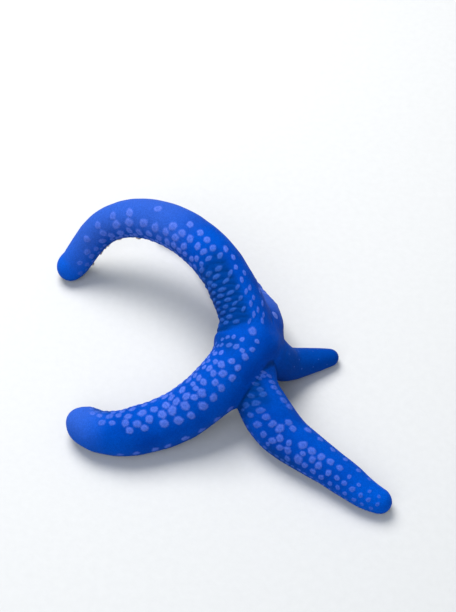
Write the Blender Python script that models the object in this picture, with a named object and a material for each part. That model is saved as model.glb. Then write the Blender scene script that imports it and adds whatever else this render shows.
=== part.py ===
"""A blue starfish at life size, draped as over uneven ground: a small arched disc and five round arms.

Metres, +Z up. The origin is on the ground, under the middle of the animal's footprint.
Each arm is a tube swept along its own route. Its underside is a flat sole with an open groove
along the middle, where the tube feet grow. Its back carries rows of low raised pore plates.
"""

import math
import random

import bmesh
import bpy
from mathutils import Vector
from mathutils.bvhtree import BVHTree

# The whole animal
GAP = 0.0003  # between two pieces that meet
HUB_HEIGHT = 0.026  # middle of the disc above the ground
HUB_PLACE = (0.0174, -0.0095)  # middle of the disc from the middle of the footprint
FLAT_BAND = 0.0004  # what comes this near the ground is flat on it
LANDING = 0.003  # clearances within this of zero are eased into the ground

# The disc, whose own body is melted together with a stub of each arm
DOME = (0.0150, 0.0150, 0.0105)  # half sizes of the disc's own body
DOME_SHIFT = Vector((-0.0025, 0.0, 0.001))  # of that body's middle from the disc's middle
MELT_CELL = 0.0012
MELT_PASSES = 24  # of smoothing, which rounds the crotches between the arms
MELT_SHRINK = 0.0005  # what the smoothing takes off all round
DISC_SHARE = 0.09  # of the smoothed faces that the disc keeps
MOUTH_RADIUS = 0.0048
STUB_BACK = 0.004  # how far an arm's stub runs back past the disc's middle
STUB_SPARE = 0.006  # how far the stub runs on past the root before it is cut flat
CUTTER_SCALE = 1.12  # of that cut, so that it clears the next arm

# An arm's section, in arm radii
SOLE = 0.86  # depth of the sole under the middle
GROOVE_HALF_WIDTH = 0.22
GROOVE_ROOF = 0.45  # depth of the groove's roof under the middle
BACK_STEP = 20  # degrees between two points of the round back
BACK_END = 140  # degrees from the top of the back to where the sole begins

# An arm's rings
RING_SPACING = 0.0056
PATH_STEPS = 240  # of each arm's route
TIP_ANGLES = (25, 48, 68, 82)  # degrees round the blunt end

# Tube feet, in arm radii but for the lengths along the arm
FOOT_SPACING = 0.0078  # on each side of the groove
FOOT_FROM_CUT = 0.0019
FOOT_FROM_MOUTH = 0.0085
FOOT_ROOT = (0.115, -0.46)  # (to the side, up) where a foot begins, inside the groove's wall
FOOT_REACH = 0.30  # below the sole, where the ground leaves room
FOOT_SPLAY = 0.14  # outwards at full reach
FOOT_STEM = 0.075
FOOT_SUCKER = 0.110
FOOT_SIDES = 6

# Raised pore plates
PLATE_SPACING = 0.0105  # along a row
PLATE_RADIUS = 0.185  # in arm radii
PLATE_HEIGHT = 0.0004
PLATE_ROOT = 0.0009  # how deep a plate is sunk in the skin
PLATE_TOP = 0.68  # width of a plate's top, in its foot's
PLATE_SIDES = 6
PLATE_FROM_CUT = 0.0004  # from the rim of a plate
PLATE_FROM_HUB = 0.0165
PLATE_SIZES = (0.85, 1.15)  # least and most of the common size
PLATE_JITTER = 0.0008
PLATE_SEED = 11
PLATE_SEARCH = 0.012  # the surface of the disc is looked for along a line of this length
PLATE_FACING = 0.8  # least of the surface's normal along that line

# The plates at the middle of the disc: radius, and headings and tilts up in degrees from its middle
CENTRE_PLATES = {"radius": 0.0015, "headings": (30, 102, 174, 246, 318), "tilt": 58}
MADREPORITE = {"radius": 0.0021, "headings": (49,), "tilt": 17}

# Each arm, from the middle of the disc to its tip. The headings (degrees, 0 along +X) and the
# clearances under the sole are at even steps along the arm, and so are the radii. A clearance
# below zero lays the arm on the ground. The disc ends at root, and the rest is parted into the
# named lengths. The plate rows are degrees from the top of the back, to the right of forward.
ARMS = {
    "left_arm": {
        "length": 0.143,
        "headings": (107, 112, 120, 133, 146, 161, 187, 209, 206),
        "clearances": (0.0165, 0.0235, 0.0290, 0.0307, 0.0305, 0.0275, 0.0205, 0.0080, -0.0060),
        "radii": (0.0108, 0.0107, 0.0106, 0.0102, 0.0095, 0.0084, 0.0074, 0.0069),
        "root": 0.026,
        "parts": ("root", "inner", "outer", "tip"),
        "plate_rows": (-98, -70, -43, -16, 12),
    },
    "near_arm": {
        "length": 0.0985,
        "headings": (236, 231, 213, 199, 195, 165, 100),
        "clearances": (0.0165, 0.0140, 0.0080, 0.0015, -0.0030, -0.0030, -0.0030),
        "radii": (0.0122, 0.0116, 0.0114, 0.0112, 0.0106, 0.0092, 0.0081),
        "root": 0.026,
        "parts": ("root", "inner", "outer", "tip"),
        "plate_rows": (78, 48, 19, -10, -38),
    },
    "front_arm": {
        "length": 0.0994,
        "headings": (269, 279, 304, 322, 323, 319, 347),
        "clearances": (0.0165, 0.0100, 0.0025, -0.0030, -0.0030, -0.0030, -0.0030),
        "radii": (0.0096, 0.0089, 0.0111, 0.0098, 0.0083, 0.0071, 0.0047),
        "root": 0.026,
        "parts": ("root", "middle", "tip"),
        "plate_rows": (92, 64, 36, 8, -52),
    },
    "short_arm": {
        "length": 0.050,
        "headings": (-35, 12, 24, 18, 16),
        "clearances": (0.0165, 0.0090, 0.0015, -0.0030, -0.0030),
        "radii": (0.0094, 0.0086, 0.0065, 0.0034),
        "root": 0.020,
        "parts": ("root",),
        "plate_rows": (-60, -20, 20, 60),
    },
    "back_arm": {
        "length": 0.112,
        "headings": (60, 97, 114, 119, 120, 144, 165),
        "clearances": (0.0165, 0.0100, 0.0015, -0.0030, -0.0030, -0.0030, -0.0030),
        "radii": (0.0104, 0.0102, 0.0100, 0.0096, 0.0090, 0.0082, 0.0072, 0.0062),
        "root": 0.026,
        "parts": ("root", "middle", "tip"),
        "plate_rows": (-85, -52, -20, 20, 52, 85),
    },
}

# Material name: (linear colour, roughness)
MATERIALS = {
    "skin": ((0.006, 0.095, 0.540), 0.42),
    "pore_plate": ((0.130, 0.190, 0.680), 0.50),
    "tube_foot": ((0.620, 0.560, 0.340), 0.35),
}


def clear_scene():
    for obj in list(bpy.data.objects):
        bpy.data.objects.remove(obj, do_unlink=True)


def make_materials():
    made = {}
    for name, (colour, roughness) in MATERIALS.items():
        material = bpy.data.materials.new(name)
        material.use_nodes = True
        shader = material.node_tree.nodes["Principled BSDF"]
        shader.inputs["Base Color"].default_value = (*colour, 1.0)
        shader.inputs["Roughness"].default_value = roughness
        shader.inputs["Metallic"].default_value = 0.0
        made[name] = material
    return made


def straight_between(values, share):
    """The value at a share from 0 to 1 of evenly spaced values, along straight lines."""
    place = min(max(share, 0.0), 1.0) * (len(values) - 1)
    first = min(int(place), len(values) - 2)
    part = place - first
    return values[first] * (1 - part) + values[first + 1] * part


def smooth_between(values, share):
    """The value at a share from 0 to 1 of evenly spaced values, along a smooth curve through them."""
    padded = [2 * values[0] - values[1], *values, 2 * values[-1] - values[-2]]
    place = min(max(share, 0.0), 1.0) * (len(values) - 1)
    first = min(int(place), len(values) - 2)
    u = place - first
    a, b, c, d = padded[first : first + 4]
    cubic = 3 * b - a - 3 * c + d
    square = 2 * a - 5 * b + 4 * c - d
    return 0.5 * (2 * b + (c - a) * u + square * u**2 + cubic * u**3)


def height_at(arm, share):
    """Height of an arm's middle line above the ground."""
    clearance = smooth_between(arm["clearances"], share)
    if abs(clearance) < LANDING:
        clearance = (clearance + LANDING) ** 2 / (4 * LANDING)
    return max(clearance, 0.0) + SOLE * smooth_between(arm["radii"], share)


def trace_path(arm):
    """The middle line of an arm, as evenly spaced points from the disc's middle to the tip."""
    step = arm["length"] / PATH_STEPS
    lift = HUB_HEIGHT - height_at(arm, 0)
    fade = arm["root"] / arm["length"]
    x, y = HUB_PLACE
    points = []
    for i in range(PATH_STEPS + 1):
        share = i / PATH_STEPS
        z = height_at(arm, share) + lift * max(0.0, 1 - share / fade)
        if points:
            rise = z - points[-1].z
            run = math.sqrt(max(step**2 - rise**2, 0.0))
            heading = math.radians(straight_between(arm["headings"], share - 0.5 / PATH_STEPS))
            x += run * math.cos(heading)
            y += run * math.sin(heading)
        points.append(Vector((x, y, z)))
    return points


def frame_at(arm, along):
    """(middle, forward, side, up) of an arm at a distance along it. Side is to the right of forward."""
    path = arm["path"]
    place = along / arm["length"] * PATH_STEPS
    first = int(min(max(place, 0), PATH_STEPS - 1))
    middle = path[first].lerp(path[first + 1], place - first)
    behind = path[max(first - 2, 0)]
    ahead = path[min(first + 3, PATH_STEPS)]
    forward = (ahead - behind).normalized()
    side = forward.cross(Vector((0, 0, 1))).normalized()
    return middle, forward, side, side.cross(forward)


def radius_at(arm, along):
    return smooth_between(arm["radii"], along / arm["length"])


def section(with_groove):
    """An arm's closed section in arm radii, as (side, up) pairs: the round back, then the sole."""
    angles = [math.radians(a) for a in range(-BACK_END, BACK_END + 1, BACK_STEP)]
    outline = [(math.sin(a), math.cos(a)) for a in angles]
    sole_edge = math.sqrt(1 - SOLE**2)
    outline.append((sole_edge, -SOLE))
    if with_groove:
        outline.append((GROOVE_HALF_WIDTH, -SOLE))
        outline.append((0.0, -GROOVE_ROOF))
        outline.append((-GROOVE_HALF_WIDTH, -SOLE))
    outline.append((-sole_edge, -SOLE))
    return outline


def groove_section():
    """A wedge that cuts the groove, deep enough to reach out through the sole."""
    below = 0.2
    half = GROOVE_HALF_WIDTH * (1 + below / (SOLE - GROOVE_ROOF))
    return [(half, -SOLE - below), (-half, -SOLE - below), (0.0, -GROOVE_ROOF)]


def ring(arm, along, outline, scale=1.0):
    """The outline set across an arm. A sole that comes within FLAT_BAND of the ground is flat on it."""
    middle, _, side, up = frame_at(arm, along)
    radius = radius_at(arm, along) * scale
    points = [middle + side * (radius * x) + up * (radius * y) for x, y in outline]
    for point, (_, y) in zip(points, outline):
        if point.z < FLAT_BAND and y <= -SOLE:
            point.z = 0.0
        point.z = max(point.z, 0.0)
    return points


def tip_rings(arm):
    """(distance along, scale) of the rings round the blunt end."""
    end_radius = arm["radii"][-1]
    start = arm["length"] - end_radius
    rounds = [math.radians(a) for a in TIP_ANGLES]
    return [(start + end_radius * math.sin(a), math.cos(a)) for a in rounds]


def rings_between(arm, start, end):
    """(distance along, scale) of the rings of one length of an arm, and of its round end if it has one."""
    body_end = min(end, arm["length"] - arm["radii"][-1])
    count = max(round((body_end - start) / RING_SPACING), 1)
    found = [(start + (body_end - start) * i / count, 1.0) for i in range(count + 1)]
    return found + (tip_rings(arm) if end >= arm["length"] else [])


def add_object(name, shape):
    """Makes an object of a bmesh, and frees the bmesh."""
    mesh = bpy.data.meshes.new(name)
    shape.to_mesh(mesh)
    shape.free()
    obj = bpy.data.objects.new(name, mesh)
    bpy.context.scene.collection.objects.link(obj)
    return obj


def loft(name, rings, material):
    """A closed object through rings of points, with a flat face at each end."""
    shape = bmesh.new()
    loops = [[shape.verts.new(p) for p in points] for points in rings]
    for first, second in zip(loops, loops[1:]):
        for i in range(len(first)):
            j = (i + 1) % len(first)
            shape.faces.new((first[i], first[j], second[j], second[i]))
    shape.faces.new(loops[0])
    shape.faces.new(loops[-1])
    bmesh.ops.recalc_face_normals(shape, faces=shape.faces)
    obj = add_object(name, shape)
    obj.data.materials.append(material)
    return obj


def sweep(name, arm, start, end, outline, material, thicker=0.0):
    rings = []
    for along, scale in rings_between(arm, start, end):
        rings.append(ring(arm, along, outline, scale + thicker / radius_at(arm, along)))
    return loft(name, rings, material)


def ball(name, middle, half_sizes, segments, material):
    shape = bmesh.new()
    bmesh.ops.create_uvsphere(shape, u_segments=segments, v_segments=segments // 2, radius=1.0)
    for vertex in shape.verts:
        vertex.co = middle + Vector(a * b for a, b in zip(vertex.co, half_sizes))
    obj = add_object(name, shape)
    obj.data.materials.append(material)
    return obj


def apply_modifiers(obj):
    graph = bpy.context.evaluated_depsgraph_get()
    made = bpy.data.meshes.new_from_object(obj.evaluated_get(graph))
    obj.modifiers.clear()
    obj.data = made


def combine(obj, others, operation):
    """Joins the other closed objects to obj, or cuts them from it, and removes them."""
    group = bpy.data.collections.new("combined")
    bpy.context.scene.collection.children.link(group)
    for other in others:
        group.objects.link(other)
    boolean = obj.modifiers.new("boolean", "BOOLEAN")
    boolean.operation = operation
    boolean.solver = "EXACT"
    boolean.material_mode = "TRANSFER"
    boolean.operand_type = "COLLECTION"
    boolean.collection = group
    apply_modifiers(obj)
    for other in others:
        bpy.data.objects.remove(other, do_unlink=True)
    bpy.data.collections.remove(group)
    keep_largest(obj)


def keep_largest(obj):
    """Deletes all but the largest of an object's closed surfaces."""
    shape = bmesh.new()
    shape.from_mesh(obj.data)
    left = set(shape.verts)
    surfaces = []
    while left:
        surface, front = set(), [left.pop()]
        while front:
            vertex = front.pop()
            surface.add(vertex)
            near = {edge.other_vert(vertex) for edge in vertex.link_edges} & left
            left -= near
            front.extend(near)
        surfaces.append(surface)
    surfaces.sort(key=len)
    for surface in surfaces[:-1]:
        bmesh.ops.delete(shape, geom=list(surface), context="VERTS")
    shape.to_mesh(obj.data)
    shape.free()


def melt(obj):
    """Rounds the creases of an object and leaves it with few faces."""
    cells = obj.modifiers.new("cells", "REMESH")
    cells.mode = "VOXEL"
    cells.voxel_size = MELT_CELL
    smooth = obj.modifiers.new("smooth", "SMOOTH")
    smooth.factor = 0.5
    smooth.iterations = MELT_PASSES
    fewer = obj.modifiers.new("fewer", "DECIMATE")
    fewer.ratio = DISC_SHARE
    apply_modifiers(obj)


def polygon(middle, across, upright, radius, sides):
    """Points of a regular polygon in the plane of two directions."""
    turns = [math.tau * (i + 0.5) / sides for i in range(sides)]
    return [middle + across * (radius * math.cos(t)) + upright * (radius * math.sin(t)) for t in turns]


def tube_foot(arm, along, left_or_right, material):
    """A foot from the groove's wall to its sucker, splayed where it reaches below the sole."""
    middle, forward, side, up = frame_at(arm, along)
    radius = radius_at(arm, along)
    room = (middle - up * (SOLE * radius)).z - GAP
    reach = min(FOOT_REACH, room / radius)
    splay = FOOT_SPLAY * max(reach, 0.0) / FOOT_REACH
    root_side, root_up = FOOT_ROOT
    side = side * left_or_right
    root = middle + (side * root_side + up * root_up) * radius
    end = middle + (side * (root_side + splay) - up * (SOLE + reach)) * radius
    across = forward.cross(end - root).normalized()
    levels = ((0.0, FOOT_STEM), (0.80, FOOT_STEM * 0.85), (1.0, FOOT_SUCKER))
    rings = []
    for part, width in levels:
        points = polygon(root.lerp(end, part), across, forward, width * radius, FOOT_SIDES)
        rings.append([Vector((p.x, p.y, max(p.z, GAP))) for p in points])
    return loft("foot", rings, material)


def tube_feet(arm, start, end, material):
    """Two staggered rows of feet along a stretch of an arm's groove."""
    start = max(start + FOOT_FROM_CUT, FOOT_FROM_MOUTH)
    end = min(end - FOOT_FROM_CUT, arm["length"] - 0.5 * arm["radii"][-1])
    count = max(round((end - start) / FOOT_SPACING), 1)
    step = (end - start) / count
    feet = []
    for i in range(count):
        feet.append(tube_foot(arm, start + step * (i + 0.25), 1, material))
        feet.append(tube_foot(arm, start + step * (i + 0.75), -1, material))
    return feet


def pore_plate(place, normal, forward, radius, material):
    """A low plate with its root sunk in the skin, a little longer than wide."""
    across = normal.cross(forward).normalized()
    lengthwise = across.cross(normal)
    low = polygon(place - normal * PLATE_ROOT, across, lengthwise, radius, PLATE_SIDES)
    high = polygon(place + normal * PLATE_HEIGHT, across, lengthwise, radius * PLATE_TOP, PLATE_SIDES)
    return loft("plate", [low, high], material)


def plate_places(arm, start, end, draw):
    """(distance along, degrees from the top, radius) of the plates on a stretch of an arm."""
    places = []
    for row, angle in enumerate(arm["plate_rows"]):
        count = max(round((end - start) / PLATE_SPACING), 1)
        step = (end - start) / count
        for i in range(count):
            along = start + step * (i + (0.3 if row % 2 else 0.7))
            along += draw.uniform(-PLATE_JITTER, PLATE_JITTER)
            radius = PLATE_RADIUS * radius_at(arm, along) * draw.uniform(*PLATE_SIZES)
            low = start + radius + PLATE_FROM_CUT
            high = end - radius - PLATE_FROM_CUT
            places.append((min(max(along, low), high), math.radians(angle), radius))
    return places


def arm_plates(arm, start, end, material, draw):
    """Rows of plates on the round back of one length of an arm."""
    end = min(end, arm["length"] - arm["radii"][-1] * 0.8)
    plates = []
    for along, angle, radius in plate_places(arm, start, end, draw):
        middle, forward, side, up = frame_at(arm, along)
        normal = side * math.sin(angle) + up * math.cos(angle)
        place = middle + normal * radius_at(arm, along)
        plates.append(pore_plate(place, normal, forward, radius, material))
    return plates


def plate_on_surface(surface, near, outward, forward, radius, material):
    """A plate where a surface faces outward near a point, or none where it doesn't."""
    start = near + outward * (PLATE_SEARCH / 2)
    place, normal, _, _ = surface.ray_cast(start, -outward, PLATE_SEARCH)
    if place is None or normal.dot(outward) < PLATE_FACING:
        return []
    return [pore_plate(place, normal, forward, radius, material)]


def centre_plates(surface, kind, material):
    """The plates of one kind round the middle of the disc."""
    plates = []
    tilt = math.radians(kind["tilt"])
    hub = Vector((*HUB_PLACE, HUB_HEIGHT))
    for heading in kind["headings"]:
        turn = math.radians(heading)
        level = Vector((math.cos(turn), math.sin(turn), 0))
        outward = level * math.cos(tilt) + Vector((0, 0, math.sin(tilt)))
        near = hub + outward * DOME[0]
        plates += plate_on_surface(surface, near, outward, level, kind["radius"], material)
    return plates


def disc_plates(disc, material, draw):
    """The rows of the arms' backs, carried on to the disc, and the plates at its middle."""
    shape = bmesh.new()
    shape.from_mesh(disc.data)
    surface = BVHTree.FromBMesh(shape)
    shape.free()
    plates = []
    for arm in ARMS.values():
        for along, angle, radius in plate_places(arm, PLATE_FROM_HUB, arm["root"] - GAP, draw):
            middle, forward, side, up = frame_at(arm, along)
            if abs(angle) < math.radians(60):
                outward = side * math.sin(angle) + up * math.cos(angle)
                near = middle + outward * radius_at(arm, along)
                plates += plate_on_surface(surface, near, outward, forward, radius, material)
    for kind in (CENTRE_PLATES, MADREPORITE):
        plates += centre_plates(surface, kind, material)
    return plates


def make_disc(materials, draw):
    """The animal's middle: a low dome, the stubs that the arms go on from, and the mouth under it."""
    skin = materials["skin"]
    hub = Vector((*HUB_PLACE, HUB_HEIGHT))
    disc = ball("disc", hub + DOME_SHIFT, DOME, 28, skin)
    stubs = []
    for arm in ARMS.values():
        end = arm["root"] + STUB_SPARE
        stubs.append(sweep("stub", arm, -STUB_BACK, end, section(False), skin, MELT_SHRINK))
    combine(disc, stubs, "UNION")
    melt(disc)
    cutters = [ball("mouth", hub - Vector((0, 0, SOLE * DOME[2])), (MOUTH_RADIUS,) * 3, 12, skin)]
    block = [(x * CUTTER_SCALE, y * CUTTER_SCALE) for x, y in section(False)]
    for arm in ARMS.values():
        root = arm["root"]
        cutters.append(sweep("groove", arm, -STUB_BACK, root + GAP, groove_section(), skin))
        cutters.append(sweep("end", arm, root - GAP / 2, root + 2 * STUB_SPARE, block, skin))
    combine(disc, cutters, "DIFFERENCE")
    pieces = disc_plates(disc, materials["pore_plate"], draw)
    for arm in ARMS.values():
        pieces += tube_feet(arm, 0.0, arm["root"] - GAP / 2, materials["tube_foot"])
    combine(disc, pieces, "UNION")
    return disc


def make_arm(name, arm, materials, draw):
    """The lengths of one arm, each parted from the next by a thin flat cut."""
    parts = arm["parts"]
    length = (arm["length"] - arm["root"]) / len(parts)
    made = []
    for i, part in enumerate(parts):
        start = arm["root"] + length * i + GAP / 2
        last = i == len(parts) - 1
        end = arm["length"] if last else arm["root"] + length * (i + 1) - GAP / 2
        node = sweep(f"{name}_{part}", arm, start, end, section(True), materials["skin"])
        pieces = tube_feet(arm, start, end, materials["tube_foot"])
        pieces += arm_plates(arm, start, end, materials["pore_plate"], draw)
        combine(node, pieces, "UNION")
        made.append(node)
    return made


def main():
    clear_scene()
    materials = make_materials()
    draw = random.Random(PLATE_SEED)
    for arm in ARMS.values():
        arm["path"] = trace_path(arm)
    nodes = [make_disc(materials, draw)]
    for name, arm in ARMS.items():
        nodes += make_arm(name, arm, materials, draw)
    for node in nodes:
        node.data.shade_smooth()
        node.data.set_sharp_from_angle(angle=math.radians(40))


main()
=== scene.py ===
"""The looks of a blue starfish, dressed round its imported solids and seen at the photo's angle.

Metres, +Z up. One skin covers the disc and the five arms, with its pore plates, furrows and groove
modelled in it. The tube feet, groove spines, mouth, madreporite and eyespots are pieces of their own.
"""

import math
import random

import bpy
import numpy as np
from mathutils import Matrix, Vector, noise
from mathutils.kdtree import KDTree


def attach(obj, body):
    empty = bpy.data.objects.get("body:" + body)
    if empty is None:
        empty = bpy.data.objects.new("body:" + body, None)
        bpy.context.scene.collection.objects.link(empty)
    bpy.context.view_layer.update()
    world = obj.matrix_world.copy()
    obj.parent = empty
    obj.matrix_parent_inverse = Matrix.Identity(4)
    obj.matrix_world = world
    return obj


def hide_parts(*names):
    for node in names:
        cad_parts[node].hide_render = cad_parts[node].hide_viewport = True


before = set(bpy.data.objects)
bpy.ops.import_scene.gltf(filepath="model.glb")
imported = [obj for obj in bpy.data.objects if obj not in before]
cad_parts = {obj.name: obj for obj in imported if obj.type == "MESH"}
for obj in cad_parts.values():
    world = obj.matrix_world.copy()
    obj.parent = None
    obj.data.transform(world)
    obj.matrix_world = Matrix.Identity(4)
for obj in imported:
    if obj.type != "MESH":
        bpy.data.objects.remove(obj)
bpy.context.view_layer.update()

# The body, as in the solids
HUB = np.array((0.0174, -0.0095, 0.026))  # the disc's middle
LANDING = 0.003  # clearances within this of zero are eased into the ground
DOME = np.array((0.015, 0.015, 0.0105))  # half sizes of the disc's own body
DOME_SHIFT = np.array((-0.0025, 0.0, 0.001))
MELT_CELL = 0.0012  # where the disc melts with a stub of each arm
MELT_PASSES = 24
MELT_SHRINK = 0.0005  # what smoothing takes off the stubs
STUB_BACK = 0.004  # how far behind the disc's middle they start
STUB_SPARE = 0.006  # how far past the arms' roots they run
MOUTH_RADIUS = 0.0048
SOLE = 0.86  # depth of the sole under the middle, in arm radii
GROOVE_HALF_WIDTH = 0.22  # in arm radii, as is the next
GROOVE_ROOF = 0.45
STEPS = 240  # of each arm's route
LOOK = (2, 3)  # steps back and ahead that set its direction
TIP_TILTS = range(6, 89, 6)  # degrees of the rings that round a tip

# The skin
SKIN_CELL = 0.00064
SKIN_PASSES = 5
SEAM_PASSES = 30  # where the arms meet the disc
SEAM_FADE = (0.013, 0.019)  # from the middle of a seam
FOLD_PLACE = (0.0075, 0.0070, 0.0070)  # from HUB: where the far arms' roots pinch the skin
FOLD_FADE = (0.006, 0.012)
RING_STEP = 0.001
SECTION_STEP = 4  # degrees
SOLE_POINTS = 9
FLAT_BAND = 0.0004  # a sole this near the ground lies on it
REST_BAND = 0.0003  # and so does the dressed skin
CHUNK = 20000  # points measured at a time
NOISE_SHIFT = (7.31, 3.17, 5.93)  # between one noise and the next
LUMP_SIZE = 0.006
LUMP_HEIGHT = 0.00016
GROOVE_FLAT = 0.04  # half width of its roof, in arm radii
GROOVE_SPREAD = 1.25  # reach of its slopes, in the solids' half widths
GROOVE_UNDER = -0.3  # it takes skin lower than this from the middle, in arm radii
GROOVE_NEAR = 1.4  # and nearer than this
GROOVE_START = 0.0003
GROOVE_ENDS = (0.75, 0.2)  # in radii of the tip before it
GROOVE_TINT = (0.0002, 0.0030)  # lifts over which its colour sets in
BACK_LIFT = (0.0002, 0.0012)  # lifts over which lumps and spots end
MOUTH_RISE = 0.9  # height of the mouth's hollow, in its radii
MOUTH_UNDER = -0.004  # it takes skin lower than this from HUB

# Creases between two arms, and furrows across an arm
CREASE_DEPTH = 0.0006
CREASE_WIDTH = 0.09  # in arm radii
CREASE_HUB = (0.0100, 0.0140)  # distances from HUB over which creases set in
CREASE_TURN = (25, 65)  # degrees from the arms' tops over which they deepen
CREASE_END = (1.5, 2.2)  # radii out from the farther arm over which they end
FURROW_DEEP = 0.0004  # a furrow this deep takes its full painted shade
FURROW_FULL_SHADE = 0.00024  # one this deep gives the skin of its patch the fullest painted shade
FURROW_WAVER = 0.35  # how far furrows stray, of their spacing
FURROW_WAVE = 0.004
FURROW_SHARPNESS = 1.5
FURROW_SET_IN = 0.003  # length over which a patch of them begins
FURROW_SIDES = 25  # degrees over which it ends sideways
FURROW_FILLED = 0.7  # how far a spot fills a furrow

# Where painted light and shade change the skin's colour
LIT_TIP_STRETCH = (0.72, 0.92)  # shares of an arm over which painted light brightens it to its tip
ARM_SHADE_START = (0.010, 0.015)  # distances along the short arm over which its painted shade sets in
LIT_SHEEN_TURN = (50, 110)  # degrees from an arm's top over which its painted light and sheen end
FLANK_SHADE_TURN = (60, 150)  # degrees from the top over which painted shade turns its flank darker teal
FLANK_SHADE_DOWN = (0.1, 1.0)  # and how far the skin faces down
FLANK_SHADE_SHARES = (0.6, 0.4)

# Spots, which are raised pore plates
SPOT_SEED = 23
SPOT_HEIGHT = 0.00030
SPOT_FULL_SIZE = 0.0016  # smaller spots rise less
SPOT_SLOPE = (-0.10, 0.45)  # values inside a spot over which it rises
SPOT_JITTER = 0.07  # of the spacing
SPOT_TURN = 2.5  # degrees
SPOT_SIZES = (0.90, 1.12)
SPOT_STRENGTHS = (0.82, 1.0)
SPOT_WOBBLE = ((2, 0.09), (3, 0.03), (4, 0.04), (5, 0.03))  # (waves round the rim, share of the radius)
SPOT_CLEARANCE = 1.03  # least distance of two middles, in their half sizes that way
SPOT_SHRINKS = (1.0, 0.86, 0.72)  # a spot without room shrinks before it is left out
SPOT_REACH = 2.2  # how far from its middle its values go, in long half sizes
SPOT_OFF = 0.004  # farthest move from the arm's round back to the skin
SPOT_FACING = 0.3  # how well the skin there has to face the same way
SPOT_SIDE = 0.2  # and the skin round it
ACROSS = (-90, 90, 0, 0)  # turns of spots that lie straight across
STRAIGHT = (0, 0, 1)  # skew of rings that don't slant
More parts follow.
